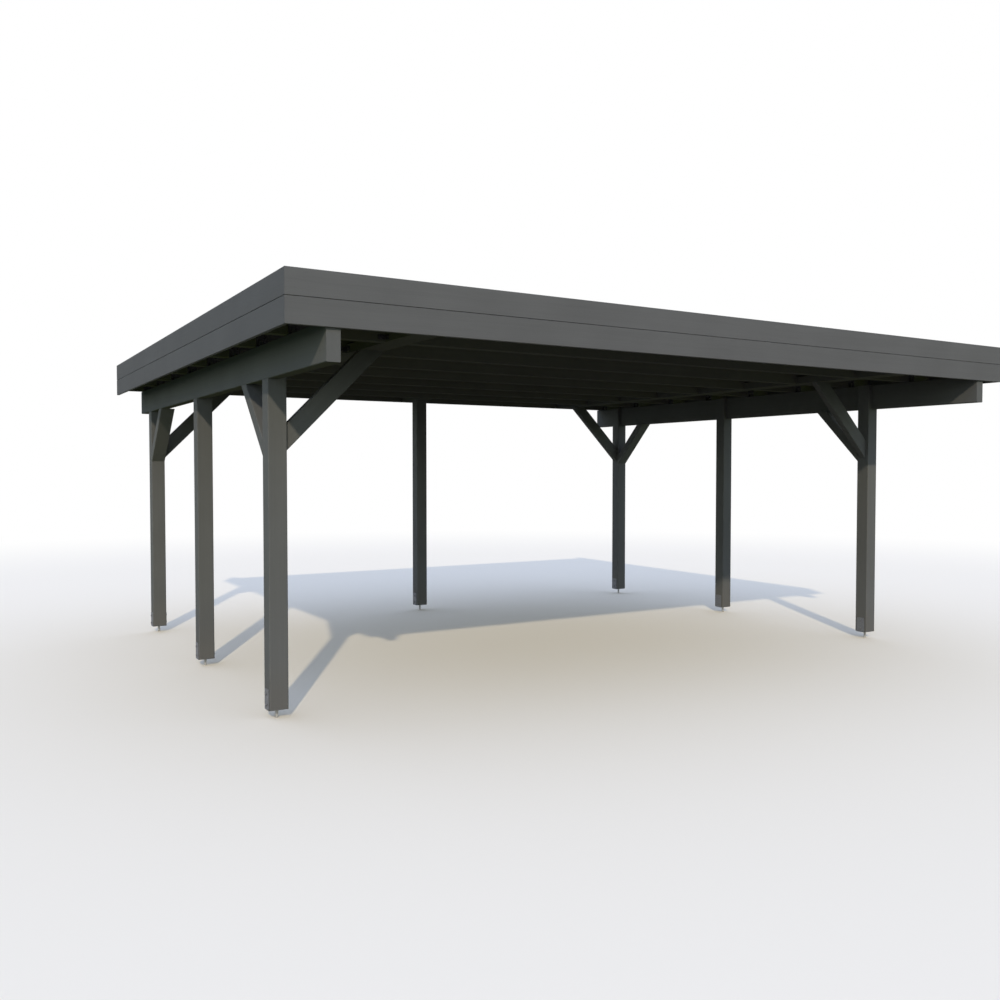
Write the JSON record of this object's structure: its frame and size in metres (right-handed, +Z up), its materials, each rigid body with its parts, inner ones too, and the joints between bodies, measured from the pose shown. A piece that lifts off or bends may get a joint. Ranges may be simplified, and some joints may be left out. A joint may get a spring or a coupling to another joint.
{
  "type": "double carport",
  "caption": "Free-standing flat-roofed timber carport: square posts on steel feet, long beams, cross rafters, knee braces and a two-board fascia, open on all sides.",
  "frame": {"origin": "centre of the roof outline at ground level", "axes": "+X to the right along the open front, +Y from front to back, +Z up"},
  "size_m": [6.23, 5.3, 2.611],
  "materials": {
    "painted_timber": "matte slate grey paint",
    "natural_timber": "impregnated, unpainted",
    "galvanised_steel": "hot-dip galvanised",
    "black_steel": "matte black coating",
    "roof_membrane": "matte rubber sheet"
  },
  "bodies": {
    "root": {"back_centre_block": "painted_timber", "back_centre_foot": "galvanised_steel", "back_centre_post": "painted_timber", "back_eaves_board": "painted_timber", "back_left_beam_brace": "painted_timber", "back_left_cross_brace": "painted_timber", "back_left_foot": "galvanised_steel", "back_left_post": "painted_timber", "back_right_beam_brace": "painted_timber", "back_right_cross_brace": "painted_timber", "back_right_foot": "galvanised_steel", "back_right_post": "painted_timber", "front_left_beam_brace": "painted_timber", "front_left_cross_brace": "painted_timber", "front_left_foot": "galvanised_steel", "front_left_post": "painted_timber", "front_lower_fascia": "painted_timber", "front_right_beam_brace": "painted_timber", "front_right_cross_brace": "painted_timber", "front_right_foot": "galvanised_steel", "front_right_post": "painted_timber", "front_upper_fascia": "painted_timber", "left_beam": "painted_timber", "left_brace_blocks": "painted_timber", "left_lower_fascia": "painted_timber", "left_upper_fascia": "painted_timber", "middle_left_foot": "galvanised_steel", "middle_left_post": "painted_timber", "middle_right_foot": "galvanised_steel", "middle_right_post": "painted_timber", "rafter_1": "painted_timber", "rafter_2": "painted_timber", "rafter_3": "painted_timber", "rafter_4": "painted_timber", "rafter_5": "painted_timber", "rafter_6": "painted_timber", "rafter_7": "painted_timber", "rafter_8": "painted_timber", "rafter_9": "painted_timber", "rafter_brackets": "black_steel", "right_beam": "painted_timber", "right_brace_blocks": "painted_timber", "right_lower_fascia": "painted_timber", "right_upper_fascia": "painted_timber", "roof_deck": "natural_timber", "roof_membrane": "roof_membrane"}
  },
  "joints": []
}
